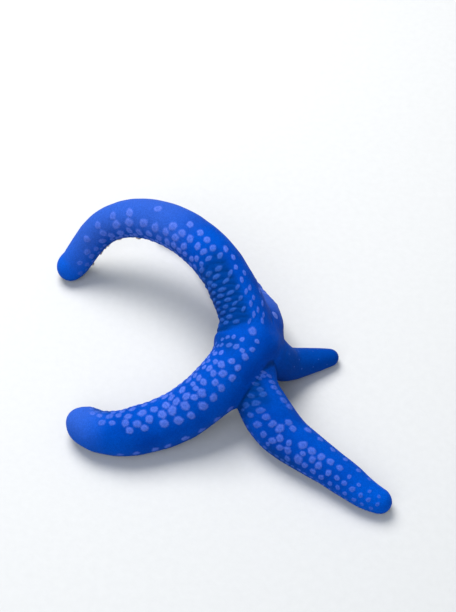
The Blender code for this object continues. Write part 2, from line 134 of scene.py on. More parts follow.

# Each arm repeats the route of its solids. Lists have values at even steps from the disc's middle to
# the tip: the spacing of the rings of plates and the half sizes of a spot, in millimetres, and how
# strongly spots are coloured. The rings slant by skew, a share of the way across, which fades over a
# stretch in millimetres. Turns are (start angle, end angle, first tilt, last tilt): between the angles
# a spot's long side turns from one tilt off straight across the arm to the other. A row of spots is
# (first angle, last angle, from, to, size, pace): angles in degrees from the top of the back to the
# right of forward, from and to in millimetres along the arm, and pace in shares of the spacing. A patch
# of furrows is (from, to, first angle, last angle, depth, pace), and it lays painted shade on the skin,
# fuller where it is deeper. A stretch of painted light and sheen on the back sets in between the first
# two of its places, in millimetres, and ends between the last two.
ARMS = {
    "left_arm": {
        "length": 0.143,
        "headings": (107, 112, 120, 133, 146, 161, 187, 209, 206),
        "clearances": (0.0165, 0.0235, 0.029, 0.0307, 0.0305, 0.0275, 0.0205, 0.008, -0.006),
        "radii": (0.0108, 0.0107, 0.0106, 0.0102, 0.0095, 0.0084, 0.0074, 0.0069),
        "root": 0.026,
        "spacing": (2.5, 2.6, 3.9, 6.2, 7.6, 8.2, 7.6, 7, 6),
        "spot_short": (0.88, 0.92, 1.2, 1.8, 2, 2.05, 1.9, 1.55, 1.1),
        "spot_long": (1.85, 1.9, 1.9, 1.85, 2, 2.1, 1.9, 1.5, 1),
        "strength": (0.75, 0.8, 0.9, 1, 1, 1, 0.85, 0.65, 0.55),
        "skew": (-0.3, 45, 70),
        "turns": (-50, 15, -17, 65),
        "rows": (
            (22, 27, 7.7, 33, 0.84, 2), (8, 13, 10.2, 33, 0.84, 2), (-6, -8, 7.7, 35, 0.86, 2),
            (-20, -28, 10.2, 35, 0.94, 2), (-34, -44, 7.7, 35, 1, 2), (-48, -58, 10.2, 35, 1, 2),
            (-62, -72, 7.7, 44, 1, 2), (-76, -84, 10.2, 46, 0.95, 2), (-90, -98, 7.7, 48, 0.9, 2),
            (24, 14, 36.5, 42, 0.95, 1), (-8, -7, 38, 60, 0.95, 1), (-7, -7, 76, 79, 1, 1),
            (-34, -36, 38, 71, 1, 1), (-29, -33, 89, 121, 0.95, 1.1), (-60, -60, 38, 55, 1, 1),
            (-56, -62, 60, 133, 1, 1), (-80, -88, 50, 134, 0.9, 0.82), (-102, -105, 52, 136, 0.62, 0.45),
            (-122, -122, 8, 136, 0.45, 0.6), (37, 56, 10.7, 25, 0.9, 1.1), (14, 15, 5.4, 5.8, 1.3, 1),
            (98, 96, 34, 130, 0.7, 1), (130, 130, 20, 130, 0.3, 0.4),
        ),
        "furrows": ((6, 48, -150, 12, 0.00026, 1),),
        "lit_sheen": (48, 75, 112, 150),
    },
    "near_arm": {
        "length": 0.0985,
        "headings": (236, 231, 213, 199, 195, 165, 100),
        "clearances": (0.0165, 0.014, 0.008, 0.0015, -0.003, -0.003, -0.003),
        "radii": (0.0122, 0.0116, 0.0114, 0.0112, 0.0106, 0.0092, 0.0081),
        "root": 0.026,
        "spacing": (4.3, 4.4, 5.4, 6.6, 5.5, 4.8, 4.5),
        "spot_short": (1.2, 1.6, 1.95, 2.05, 1.95, 1.75, 1.2),
        "spot_long": (1.25, 1.7, 2, 2.05, 1.95, 1.65, 1.1),
        "strength": (0.9, 1, 1, 1, 0.9, 0.75, 0.6),
        "skew": (0.5, 100, 101),
        "rows": (
            (-23, -43, 5.7, 45, 0.95, 1), (-40, -34, 49.8, 58, 1, 1), (-28, -31, 66.5, 77, 0.85, 1),
            (-12, -16, 11.9, 34, 0.92, 1.15), (-17, -12, 36.5, 72, 1, 1), (-7, -7, 0.8, 1, 1.5, 1),
            (2, 0, 6.4, 38, 0.92, 0.95), (3, 12, 42.5, 68, 0.95, 1), (-4, 0, 71, 84, 0.85, 0.9),
            (19, 18, 4.6, 90, 0.85, 0.97), (33, 35, 5, 93, 0.74, 0.92), (47, 48, 5, 93, 0.62, 0.76),
            (60, 62, 6, 88, 0.54, 0.66), (74, 76, 7, 88, 0.46, 0.55), (90, 92, 9, 88, 0.4, 0.5),
            (-94, -97, 34.5, 84, 0.85, 1.1), (-126, -126, 20, 84, 0.3, 0.4), (124, 124, 14, 84, 0.3, 0.4),
        ),
        "furrows": ((6, 15, -10, 90, 0.00014, 1), (76, 95, 20, 120, 0.00022, 0.36)),
        "lit_sheen": (76, 92, 120, 121),
    },
    "front_arm": {
        "length": 0.0994,
        "headings": (269, 279, 304, 322, 323, 319, 347),
        "clearances": (0.0165, 0.01, 0.0025, -0.003, -0.003, -0.003, -0.003),
        "radii": (0.0096, 0.0089, 0.0111, 0.0098, 0.0083, 0.0071, 0.0047),
        "root": 0.026,
        "spacing": (2, 2.1, 3.6, 3.7, 4.7, 3.6, 2.6),
        "spot_short": (0.65, 0.8, 1.6, 1.85, 1.6, 1.25, 0.8),
        "spot_long": (1.4, 1.75, 2.1, 1.85, 1.6, 1.25, 0.85),
        "strength": (0.55, 0.54, 0.62, 0.8, 0.8, 0.65, 0.5),
        "skew": (-0.3, 30, 45),
        "turns": (-90, 90, -20, -20),
        "rows": (
            (-18, -17, 13.4, 16.5, 0.95, 1.1), (3, 14, 17.2, 22, 1.05, 1.3), (2, 6, 23.2, 28, 0.95, 1),
            (29, 20, 25.9, 46, 1, 1), (41, 40, 34, 44, 0.9, 1.3), (53, 58, 29, 50, 0.95, 1.05),
            (55, 60, 51, 57, 1.25, 0.7), (-6, 4, 43.6, 53, 0.95, 1), (19, 7, 55.6, 77, 1, 1),
            (12, 12, 79, 94, 0.8, 1.3), (34, 44, 46, 94, 0.95, 1), (62, 74, 60, 92, 0.9, 1),
            (70, 74, 30, 56, 0.8, 0.9), (88, 100, 24, 92, 0.6, 0.7), (-37, -38, 15.3, 36, 1.05, 1.5),
            (-30, -34, 52.5, 86, 0.85, 1.6), (-92, -97, 34, 84, 0.7, 1.5), (-126, -126, 24, 84, 0.3, 0.6),
            (124, 124, 24, 84, 0.3, 0.6),
        ),
        "furrows": ((9, 34, -20, 110, 0.00024, 1), (42, 62, 60, 130, 0.00016, 0.5)),
    },
    "short_arm": {
        "length": 0.05,
        "headings": (-35, 12, 24, 18, 16),
        "clearances": (0.0165, 0.009, 0.0015, -0.003, -0.003),
        "radii": (0.0094, 0.0086, 0.0065, 0.0034),
        "root": 0.02,
        "spacing": (4,),
        "spot_short": (0.45, 0.5, 0.45, 0.4, 0.3),
        "spot_long": (0.45, 0.5, 0.45, 0.4, 0.3),
        "strength": (0.6,),
        "rows": (
            (-78, -62, 14, 46, 0.9, 1.7), (-50, -24, 17, 46, 0.8, 2.9), (-8, -14, 27, 46, 0.9, 2.5),
            (20, 38, 13, 46, 1, 3.1), (50, 72, 19, 46, 0.9, 1.9),
        ),
        "furrows": ((8, 16, -120, 120, 0.00012, 1),),
    },
    "back_arm": {
        "length": 0.112,
        "headings": (60, 97, 114, 119, 120, 144, 165),
        "clearances": (0.0165, 0.01, 0.0015, -0.003, -0.003, -0.003, -0.003),
        "radii": (0.0104, 0.0102, 0.01, 0.0096, 0.009, 0.0082, 0.0072, 0.0062),
        "root": 0.026,
        "spacing": (4, 4.6, 6, 7, 7, 6, 4.5),
        "spot_short": (1.1, 1.3, 1.8, 1.9, 1.8, 1.5, 1),
        "spot_long": (1.3, 1.8, 1.9, 1.8, 1.7, 1.4, 0.9),
        "strength": (0.85, 0.9, 0.9, 0.9, 0.85, 0.7, 0.55),
        "rows": (
            (-98, -98, 22, 104, 0.6, 0.6), (-76, -76, 24, 106, 0.8, 0.8), (-50, -50, 26, 106, 1, 1),
            (-22, -22, 32, 106, 1, 1.1), (8, 8, 38, 104, 1, 1.2), (40, 40, 30, 104, 1, 1.1),
            (70, 70, 26, 104, 0.8, 0.8), (96, 96, 24, 100, 0.55, 0.6), (-124, -124, 24, 100, 0.3, 0.4),
            (124, 124, 24, 100, 0.3, 0.4),
        ),
        "furrows": ((8, 24, 60, 130, 0.0002, 0.6),),
        "lit_sheen": (11, 20, 30, 46),
    },
}

# How deep the crease between two arms is, of CREASE_DEPTH, and so how much painted shade lies in it
CREASES = {("left_arm", "near_arm"): 1.0, ("near_arm", "front_arm"): 1.0, ("front_arm", "short_arm"): 0.8}
OTHER_CREASES = 0.15
NODES = list(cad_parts)


def smooth_between(values, shares):
    """Values at shares from 0 to 1 of evenly spaced ones, along a smooth curve through them."""
    values = np.asarray(values, float)
    padded = np.concatenate([[2 * values[0] - values[1]], values, [2 * values[-1] - values[-2]]])
    place = np.clip(shares, 0, 1) * (len(values) - 1)
    first = np.minimum(place.astype(int), len(values) - 2)
    u = place - first
    a, b, c, d = (padded[first + k] for k in range(4))
    cubic = 3 * b - a - 3 * c + d
    square = 2 * a - 5 * b + 4 * c - d
    return 0.5 * (2 * b + (c - a) * u + square * u**2 + cubic * u**3)


def straight_between(values, shares):
    """The same along straight lines."""
    return np.interp(shares, np.linspace(0, 1, len(values)), values)


def value_at(arm, name, along):
    """One of an arm's lists at a distance along it."""
    return straight_between(arm[name], along / arm["length"])


def fade(low, high, values):
    """0 below low and 1 above high, with a smooth rise between."""
    t = np.clip((values - low) / (high - low), 0, 1)
    return t * t * (3 - 2 * t)


def within(values, start, full, wane, end):
    """A smooth rise from 0 to 1 between the first two places, and a fall between the last two."""
    return fade(start, full, values) * (1 - fade(wane, end, values))


def unit(vectors):
    return vectors / np.linalg.norm(vectors, axis=-1, keepdims=True)


def trace(arm):
    """Works out an arm's middle line, its axes and its radius at even steps."""
    shares = np.linspace(0, 1, STEPS + 1)
    clearance = smooth_between(arm["clearances"], shares)
    eased = (clearance + LANDING) ** 2 / (4 * LANDING)
    clearance = np.where(np.abs(clearance) < LANDING, eased, clearance)
    radius = smooth_between(arm["radii"], shares)
    z = np.maximum(clearance, 0) + SOLE * radius
    z += (HUB[2] - z[0]) * np.maximum(0, 1 - shares * arm["length"] / arm["root"])
    run = np.sqrt(np.maximum((arm["length"] / STEPS) ** 2 - np.diff(z) ** 2, 0))
    heading = np.radians(straight_between(arm["headings"], shares[1:] - 0.5 / STEPS))
    x = HUB[0] + np.concatenate([[0], np.cumsum(run * np.cos(heading))])
    y = HUB[1] + np.concatenate([[0], np.cumsum(run * np.sin(heading))])
    points = np.stack([x, y, z], 1)
    steps = np.arange(STEPS + 1)
    forward = unit(points[np.minimum(steps + LOOK[1], STEPS)] - points[np.maximum(steps - LOOK[0], 0)])
    side = unit(np.cross(forward, (0, 0, 1)))
    up = np.cross(side, forward)
    arm["line"] = {"middle": points, "forward": forward, "side": side, "up": up, "radius": radius[:, None]}


def line_at(arm, along):
    """(middle, forward, side, up, radius) of an arm at distances along it, with a row for each."""
    along = np.atleast_1d(along)
    place = np.clip(along / arm["length"], 0, 1) * STEPS
    first = np.minimum(place.astype(int), STEPS - 1)
    part = (place - first)[:, None]
    found = [v[first] * (1 - part) + v[first + 1] * part for v in arm["line"].values()]
    found[0] = found[0] + found[1] * np.minimum(along, 0)[:, None]
    return found


def one_place(arm, along):
    """The same at one distance."""
    *axes, radius = (v[0] for v in line_at(arm, along))
    return *axes, float(radius[0])


def point_on(arm, along, angle):
    """(point, outward, forward) on an arm's round back, at an angle in degrees from its top."""
    middle, forward, side, up, radius = one_place(arm, along)
    turn = math.radians(angle)
    outward = side * math.sin(turn) + up * math.cos(turn)
    return middle + outward * radius, outward, forward


def section():
    """An arm's closed section in arm radii: the round back, then the flat sole."""
    edge = math.acos(-SOLE)
    count = int(2 * edge / math.radians(SECTION_STEP))
    back = np.linspace(-edge, edge, count)
    round_part = np.stack([np.sin(back), np.cos(back)], 1)
    sole = np.linspace(math.sin(edge), -math.sin(edge), SOLE_POINTS + 2)[1:-1]
    return np.concatenate([round_part, np.stack([sole, np.full(SOLE_POINTS, -SOLE)], 1)])


def sweep(arm, start, end, thicker=0.0):
    """(points, faces) of a closed tube along a stretch of an arm, with a round end at its tip."""
    tip = float(arm["line"]["radius"][-1, 0])
    body_end = min(end, arm["length"] - tip)
    along = np.linspace(start, body_end, max(int((body_end - start) / RING_STEP), 2))
    scale = np.ones(len(along))
    if end >= arm["length"]:
        rounds = np.radians(TIP_TILTS)
        along = np.concatenate([along, body_end + tip * np.sin(rounds)])
        scale = np.concatenate([scale, np.cos(rounds)])
    middle, _, side, up, radius = (v[:, None] for v in line_at(arm, along))
    radius = radius * scale[:, None, None] + thicker
    outline = section()
    points = middle + side * radius * outline[:, :1] + up * radius * outline[:, 1:]
    low = (outline[:, 1] <= -SOLE) & (points[:, :, 2] < FLAT_BAND)
    points[low, 2] = 0
    points[:, :, 2] = np.maximum(points[:, :, 2], 0)
    return points.reshape(-1, 3), tube_faces(len(along), len(outline))


def band_faces(rings, sides, bands):
    """Faces of bands between rings of points; the first ring follows the last."""
    faces = []
    for i in range(bands):
        low, high = i * sides, (i + 1) % rings * sides
        for j in range(sides):
            k = (j + 1) % sides
            faces.append((low + j, low + k, high + k, high + j))
    return faces


def tube_faces(rings, sides):
    """Faces of a closed tube whose points run ring after ring."""
    ends = [tuple(range(sides))[::-1], tuple(range((rings - 1) * sides, rings * sides))]
    return band_faces(rings, sides, rings - 1) + ends


def ball(tilts, turns):
    """(tilt, turn, point) of a unit ball at tilts and turns in degrees."""
    tilt, turn = np.meshgrid(np.radians(tilts), np.radians(turns), indexing="ij")
    return tilt, turn, np.stack([np.cos(tilt) * np.cos(turn), np.cos(tilt) * np.sin(turn), np.sin(tilt)], -1)


def dome():
    """(points, faces) of the disc's own body."""
    _, _, shape = ball(np.arange(-85, 86, 5), np.arange(0, 360, 6))
    points = HUB + DOME_SHIFT + shape * DOME
    return points.reshape(-1, 3), tube_faces(*shape.shape[:2])


def new_object(name, data):
    obj = bpy.data.objects.new(name, data)
    bpy.context.scene.collection.objects.link(obj)
    return obj


def make_object(name, parts):
    """One mesh object of several (points, faces)."""
    points, faces, count = [], [], 0
    for part_points, part_faces in parts:
        points.append(part_points)
        faces += [tuple(i + count for i in face) for face in part_faces]
        count += len(part_points)
    mesh = bpy.data.meshes.new(name)
    mesh.from_pydata(np.concatenate(points).tolist(), [], faces)
    mesh.update()
    return new_object(name, mesh)


def smooth_and_apply(obj, passes, group=""):
    """Smooths an object, or a group of its points, and applies its modifiers."""
    smooth = obj.modifiers.new("smooth", "SMOOTH")
    smooth.factor = 0.5
    smooth.iterations = passes
    smooth.vertex_group = group
    graph = bpy.context.evaluated_depsgraph_get()
    made = bpy.data.meshes.new_from_object(obj.evaluated_get(graph))
    obj.modifiers.clear()
    obj.data = made


def remesh(obj, cell, passes):
    """Joins the closed bodies of an object in one even mesh, and smooths it."""
    cells = obj.modifiers.new("cells", "REMESH")
    cells.mode = "VOXEL"
    cells.voxel_size = cell
    smooth_and_apply(obj, passes)


def surface_of(obj):
    """Where an object's points are, and which way its surface faces there."""
    found = []
    for items, name in ((obj.data.vertices, "co"), (obj.data.vertex_normals, "vector")):
        values = np.empty(len(items) * 3)
        items.foreach_get(name, values)
        found.append(values.reshape(-1, 3))
    return found


def smooth_near(obj, weights, passes):
    """Smooths an object where the weights are high."""
    group = obj.vertex_groups.new(name="near")
    for index in np.nonzero(weights > 0.01)[0]:
        group.add([int(index)], float(weights[index]), "REPLACE")
    smooth_and_apply(obj, passes, "near")
    obj.vertex_groups.clear()


def body():
    """The disc, melted with a stub of each arm, and the arms, in one even mesh."""
    stubs = [sweep(arm, -STUB_BACK, arm["root"] + STUB_SPARE, MELT_SHRINK) for arm in ARMS.values()]
    core = make_object("core", [dome(), *stubs])
    remesh(core, MELT_CELL, MELT_PASSES)
    melted = surface_of(core)[0], [tuple(face.vertices) for face in core.data.polygons]
    bpy.data.objects.remove(core, do_unlink=True)
    arms = [sweep(arm, arm["root"] + STUB_SPARE / 3, arm["length"]) for arm in ARMS.values()]
    skin = make_object("skin", [melted, *arms])
    remesh(skin, SKIN_CELL, SKIN_PASSES)
    points, _ = surface_of(skin)
    near = 1 - fade(*FOLD_FADE, np.linalg.norm(points - HUB - FOLD_PLACE, axis=1))
    for arm in ARMS.values():
        seam = line_at(arm, arm["root"] + STUB_SPARE / 2)[0]
        near = np.maximum(near, 1 - fade(*SEAM_FADE, np.linalg.norm(points - seam, axis=1)))
    smooth_near(skin, near, SEAM_PASSES)
    return skin


def coordinates(points):
    """Where points lie on the arms, with a row for each arm: distance along, degrees from the top, and
    distances out, across and above the middle line in radii."""
    rows = []
    for arm in ARMS.values():
        line, limit = arm["line"], arm["length"] / STEPS
        squares = (line["middle"] ** 2).sum(1)
        parts = []
        for start in range(0, len(points), CHUNK):
            some = points[start : start + CHUNK]
            nearest = ((some**2).sum(1)[:, None] + squares - 2 * some @ line["middle"].T).argmin(1)
            forward, radius = line["forward"][nearest], line["radius"][nearest, 0]
            off = some - line["middle"][nearest]
            ahead = np.clip((off * forward).sum(1), -limit, limit)
            off = off - forward * ahead[:, None]
            right = (off * line["side"][nearest]).sum(1)
            above = (off * line["up"][nearest]).sum(1)
            angle = np.degrees(np.arctan2(right, above))
            out = np.linalg.norm(off, axis=1) / radius
            parts.append((nearest * limit + ahead, angle, out, right / radius, above / radius))
        rows.append(np.concatenate(parts, axis=1))
    return np.stack(rows, axis=1)


def spacing_at(arm, along):
    """Distance between two rings of plates."""
    return value_at(arm, "spacing", along) / 1000


def ring_places(arm, pace):
    """Distances along an arm of its rings, or of finer ones at a pace below 1."""
    places = [arm["rows"][0][2] / 1000]
    while places[0] > 0:
        places.insert(0, places[0] - pace * spacing_at(arm, places[0]))
    while places[-1] < arm["length"]:
        places.append(places[-1] + pace * spacing_at(arm, places[-1]))
    return np.array(places)


def slant(arm, along, angle):
    """How much farther along a ring lies at angles from the top, for its slant."""
    skew, low, high = arm.get("skew", STRAIGHT)
    width = arm["radii"][0] * skew * (1 - fade(low / 1000, high / 1000, along))
    return width * np.sin(np.radians(np.clip(angle, -90, 90)))


def spot_places(arm, draw):
    """(along, angle, short and long half sizes, turn of the long side, strength) of an arm's spots."""
    start, end, first_tilt, last_tilt = arm.get("turns", ACROSS)
    spots = []
    for first, last, low, high, size, pace in arm["rows"]:
        place = low / 1000
        while place < high / 1000:
            spacing = spacing_at(arm, place) * pace
            part = (place * 1000 - low) / (high - low)
            angle = first + (last - first) * part + draw.uniform(-SPOT_TURN, SPOT_TURN)
            along = place + slant(arm, place, angle) + draw.uniform(-1, 1) * SPOT_JITTER * spacing
            grown = size * draw.uniform(*SPOT_SIZES) / 1000
            short, long = (value_at(arm, name, along) * grown for name in ("spot_short", "spot_long"))
            tilt = first_tilt + (last_tilt - first_tilt) * fade(start, end, angle)
            strength = value_at(arm, "strength", along) * draw.uniform(*SPOT_STRENGTHS)
            spots.append((along, angle, short, long, math.radians(tilt), strength))
            place += spacing
    return spots


def overlap(one, other):
    """Whether two spots, in the form that fitted_spot makes, crowd each other."""
    gap = math.dist(one[0], other[0])
    if gap > one[1] + other[1]:
        return False
    off = (other[0] - one[0]) / gap
    room = sum(1 / math.hypot(off @ spot[2], off @ spot[3]) for spot in (one, other))
    return gap < SPOT_CLEARANCE * room


def fitted_spot(middle, normal, forward, short, long, tilt, kept):
    """(middle, long half size, both axes over their half sizes) of a spot as large as its room, or None."""
    lengthwise = unit(forward - normal * (forward @ normal))
    across = np.cross(lengthwise, normal)
    long_way = (across * math.cos(tilt) + lengthwise * math.sin(tilt)) / long
    short_way = (lengthwise * math.cos(tilt) - across * math.sin(tilt)) / short
    for shrink in SPOT_SHRINKS:
        spot = (middle, long * shrink, long_way / shrink, short_way / shrink)
        if not any(overlap(spot, other) for other in kept):
            return spot
    return None


def spot_inside(points, spot, phases):
    """How far inside a spot points lie: 1 at its middle, 0 at its wavy rim, and less beyond."""
    off = points - spot[0]
    u, v = off @ spot[2], off @ spot[3]
    turn = np.arctan2(v, u)
    rim = 1 + sum(a * np.sin(n * turn + p) for (n, a), p in zip(SPOT_WOBBLE, phases))
    return 1 - np.hypot(u, v) / rim


def spot_values(points, normals):
    """For each point: 1 at a spot's middle, 0 at its rim and down to -1 beyond it; the spot's height; and
    how strongly it is coloured."""
    draw = random.Random(SPOT_SEED)
    tree = search_tree(points)
    value = np.full(len(points), -1.0)
    height = np.zeros(len(points))
    strength = np.ones(len(points))
    kept = []
    for arm in ARMS.values():
        for along, angle, short, long, tilt, strong in spot_places(arm, draw):
            guess, outward, forward = point_on(arm, along, angle)
            _, index, gap = tree.find(guess)
            middle, normal = points[index], normals[index]
            phases = [draw.uniform(0, math.tau) for _ in SPOT_WOBBLE]
            if normal @ outward < SPOT_FACING or gap > SPOT_OFF:
                continue
            spot = fitted_spot(middle, normal, forward, short, long, tilt, kept)
            if spot is None:
                continue
            kept.append(spot)
            near = np.array([i for _, i, _ in tree.find_range(middle, SPOT_REACH * spot[1])])
            near = near[normals[near] @ normal > SPOT_SIDE]
            inside = spot_inside(points[near], spot, phases)
            strength[near] = np.where(inside > value[near], strong, strength[near])
            value[near] = np.maximum(value[near], inside)
            rise = SPOT_HEIGHT * min(1, (short + spot[1]) / 2 / SPOT_FULL_SIZE)
            height[near] = np.maximum(height[near], rise)
    return value, height, strength


def furrow_values(points, alongs, angles, nearest):
    """For each point, how deep it lies in a furrow, and how much painted shade its patch of furrows lays
    there.
    """
    depth = np.zeros(len(nearest))
    patch_shade = np.zeros(len(nearest))
    waver = FURROW_WAVER * noise_at(points, FURROW_WAVE, 2)
    for number, arm in enumerate(ARMS.values()):
        here = nearest == number
        along, angle = alongs[number, here], angles[number, here]
        for low, high, first, last, deep, pace in arm["furrows"]:
            rings = ring_places(arm, pace)
            count = np.interp(along - slant(arm, along, angle), rings, np.arange(len(rings))) + waver[here]
            between = (0.5 - 0.5 * np.cos(math.tau * count)) ** FURROW_SHARPNESS * (1 + waver[here])
            start, end, last_third = low / 1000, high / 1000, (high - low) / 3000
            ends = within(along, start, start + FURROW_SET_IN, end - last_third, end)
            sides = within(angle, first, first + FURROW_SIDES, last - FURROW_SIDES, last)
            depth[here] = np.maximum(depth[here], deep * between * ends * sides)
            # the patch's painted shade, fuller where its furrows are deeper
            patch_shade[here] = np.maximum(patch_shade[here], ends * sides * min(1, deep / FURROW_FULL_SHADE))
    return depth, patch_shade


def groove_lift(points, places):
    """How far each point moves up into a groove or the mouth, also as vectors."""
    lift = np.zeros(len(points))
    moved = np.zeros_like(points)
    for arm, along, _, out, across, above in zip(ARMS.values(), *places):
        _, _, _, up, radius = line_at(arm, along)
        radius = radius[:, 0]
        part = 1 - fade(GROOVE_FLAT, GROOVE_HALF_WIDTH * GROOVE_SPREAD, np.abs(across))
        part *= (above < GROOVE_UNDER) & (out < GROOVE_NEAR) & (along > GROOVE_START)
        wane, end = (arm["length"] - share * radius for share in GROOVE_ENDS)
        part *= 1 - fade(wane, end, along)
        amount = part * (SOLE - GROOVE_ROOF) * radius
        higher = amount > lift
        lift[higher] = amount[higher]
        moved[higher] = up[higher] * amount[higher, None]
    off = points - HUB
    level = np.hypot(off[:, 0], off[:, 1])
    bowl = np.sqrt(np.clip(1 - (level / MOUTH_RADIUS) ** 2, 0, 1)) * MOUTH_RADIUS * MOUTH_RISE
    bowl *= off[:, 2] < MOUTH_UNDER
    higher = bowl > lift
    moved[higher] = np.outer(bowl[higher], (0, 0, 1))
    return np.maximum(lift, bowl), moved


def noise_at(points, size, seed):
    offset = Vector(NOISE_SHIFT) * seed
    return np.array([noise.noise(Vector(p) / size + offset) for p in points])


def crease_values(points, outs, turns):
    """How far each point lies in a crease between two arms."""
    names = list(ARMS)
    order = np.argsort(outs, axis=0)[:2]
    first, second = np.take_along_axis(outs, order, axis=0)
    turned = np.take_along_axis(turns, order, axis=0).mean(0)
    strength = np.full(len(points), OTHER_CREASES)
    for pair, value in CREASES.items():
        numbers = [names.index(name) for name in pair]
        strength[np.isin(order, numbers).all(0)] = value
    from_hub = np.linalg.norm(points - HUB, axis=1)
    crease = np.exp(-(((second - first) / CREASE_WIDTH) ** 2)) * strength
    return crease * fade(*CREASE_HUB, from_hub) * fade(*CREASE_TURN, turned) * (1 - fade(*CREASE_END, second))


def flank_shade_values(turned, normals):
    """How much painted shade each point takes on a flank, by its angle and by how far it faces down."""
    turn, down = FLANK_SHADE_SHARES
    return turn * fade(*FLANK_SHADE_TURN, turned) + down * fade(*FLANK_SHADE_DOWN, -normals[:, 2])


def tint_values(alongs, nearest, turned):
    """How much painted shade each point takes on the short arm, painted light on the tip of an arm, and
    painted light and sheen on the back.
    """
    arm_shade, tip, lit_sheen = np.zeros((3, len(nearest)))
    for number, (name, arm) in enumerate(ARMS.items()):
        here, along = nearest == number, alongs[number]
        tip += here * fade(*LIT_TIP_STRETCH, along / arm["length"])
        if name == "short_arm":
            arm_shade += here * fade(*ARM_SHADE_START, along)
        if "lit_sheen" in arm:
            lit_sheen += here * within(along, *(place / 1000 for place in arm["lit_sheen"]))
    return arm_shade, tip, lit_sheen * (1 - fade(*LIT_SHEEN_TURN, turned))


def search_tree(points):
    tree = KDTree(len(points))
    for i, p in enumerate(points):
        tree.insert(p, i)
    tree.balance()
    return tree


def dress(skin):
    """Shapes the skin's grooves, creases, furrows and spots, and keeps what colours it."""
    points, normals = surface_of(skin)
    places = coordinates(points)
    alongs, angles, outs, _, _ = places
    turns = np.abs(angles)
    nearest = outs.argmin(0)
    turned = np.take_along_axis(turns, nearest[None], axis=0)[0]
    crease = crease_values(points, outs, turns)
    spot, height, strength = spot_values(points, normals)
    furrow, patch_shade = furrow_values(points, alongs, angles, nearest)
    lift, moved = groove_lift(points, places)
    arm_shade, tip, lit_sheen = tint_values(alongs, nearest, turned)
    back = 1 - fade(*BACK_LIFT, lift)
    raised = fade(*SPOT_SLOPE, spot)
    out = LUMP_HEIGHT * noise_at(points, LUMP_SIZE, 1) * back
    out += height * raised * back
    out -= furrow * (1 - FURROW_FILLED * raised)
    out -= CREASE_DEPTH * crease
    shaped = points + normals * out[:, None] + moved
    resting = (points[:, 2] < REST_BAND) & (lift < GROOVE_TINT[0] / 2)
    shaped[resting, 2] = 0
    shaped[:, 2] = np.maximum(shaped[:, 2], 0)
    skin.data.vertices.foreach_set("co", shaped.ravel())
    skin.data.update()
    # Among these: painted shade over the patches of furrows and on the short arm, painted light on the tips,
    # painted light and sheen on the backs.
    kept = {"spot": spot, "strength": strength, "patch_shade": patch_shade, "arm_shade": arm_shade, "tip": tip, "lit_sheen": lit_sheen}
    # painted shade in the furrows and in the creases between arms
    kept["furrow"] = np.maximum(furrow / FURROW_DEEP, crease)
    # painted shade on the flanks and where the skin faces down
    kept["flank_shade"] = flank_shade_values(turned, normals)
    kept["groove"] = fade(*GROOVE_TINT, lift)
    for name, values in kept.items():
        layer = skin.data.attributes.new(name, "FLOAT", "POINT")
        layer.data.foreach_set("value", np.asarray(values, np.float32))


# Materials
DEEP_BLUE = (0.0, 0.055, 0.425)
BRIGHT_BLUE = (0.0, 0.080, 0.545)
# Painted shade, darker and more teal, on the flanks and where the skin faces down
FLANK_SHADE_TEAL = (0.0, 0.053, 0.250)
# Painted shade over the patches of furrows
PATCH_SHADE_BLUE = (0.0, 0.040, 0.235)
# Painted shade in the furrows and the creases between arms
FURROW_SHADE_TEAL = (0.0, 0.030, 0.160)
SPOT_MIDDLE = (0.080, 0.165, 0.700)
SPOT_RIM = (0.115, 0.205, 0.770)
# Painted shade on the spots in those patches
PATCH_SHADE_SPOT = (0.006, 0.098, 0.430)
PORE_BLUE = (0.030, 0.090, 0.460)
# Painted light on the tips
LIT_TIP_BLUE = (0.0, 0.100, 0.650)
# Painted shade on the short arm
SHORT_ARM_SHADE_BLUE = (0.0, 0.056, 0.370)
# Painted light and sheen on the backs
LIT_SHEEN_BLUE = (0.040, 0.124, 0.585)
GROOVE_COLOUR = (0.070, 0.130, 0.330)
# Painted shade between the granules
GRAIN_SHADE = (0.0, 0.02, 0.12)
SPECK_DARK, SPECK_LIGHT = (0.3, 0.3, 0.3), (1.7, 1.7, 1.7)

# Scales of the skin's textures
BLOTCHES = 55.0
SPECKS = 900.0
GRANULES = 2300.0
PORES = 1150.0
RAGS = 1400.0  # of the spots' edges

# Looks of the small pieces, by slot: (dark, light, scale of the mottling, depth of the grain, softness)
SMALL_LOOKS = {
    "tube_feet": ((0.36, 0.34, 0.24), (0.68, 0.66, 0.50), 700.0, 0.00004, 0.3),
    "groove_spines": ((0.05, 0.12, 0.36), (0.16, 0.26, 0.58), 500.0, 0.00004, 0.0),
    "mouth_membrane": ((0.25, 0.20, 0.16), (0.48, 0.42, 0.32), 900.0, 0.00004, 0.3),
    "madreporite": ((0.05, 0.12, 0.50), (0.11, 0.19, 0.66), 1100.0, 0.00004, 0.0),
    "eyespot": ((0.10, 0.010, 0.006), (0.34, 0.040, 0.015), 2500.0, 0.00003, 0.0),
}


def new_material(name):
    material = bpy.data.materials.new(name)
    material.use_nodes = True
    return material, material.node_tree


def set_values(node, **values):
    """Sets a node's properties by name, and its inputs by name with spaces as underscores."""
    for key, value in values.items():
        if hasattr(node, key):
            setattr(node, key, value)
        else:
            node.inputs[key.replace("_", " ")].default_value = value
    return node


def add_node(tree, kind, **values):
    return set_values(tree.nodes.new("ShaderNode" + kind), **values)


def feed(tree, socket, value):
    """Sets a socket to a number or a colour, or links another node's output to it."""
    if isinstance(value, (int, float)):
        socket.default_value = value
    elif isinstance(value, tuple):
        socket.default_value = (*value, 1.0)
    else:
        tree.links.new(value, socket)


def attribute(tree, name):
    return add_node(tree, "Attribute", attribute_name=name).outputs["Fac"]


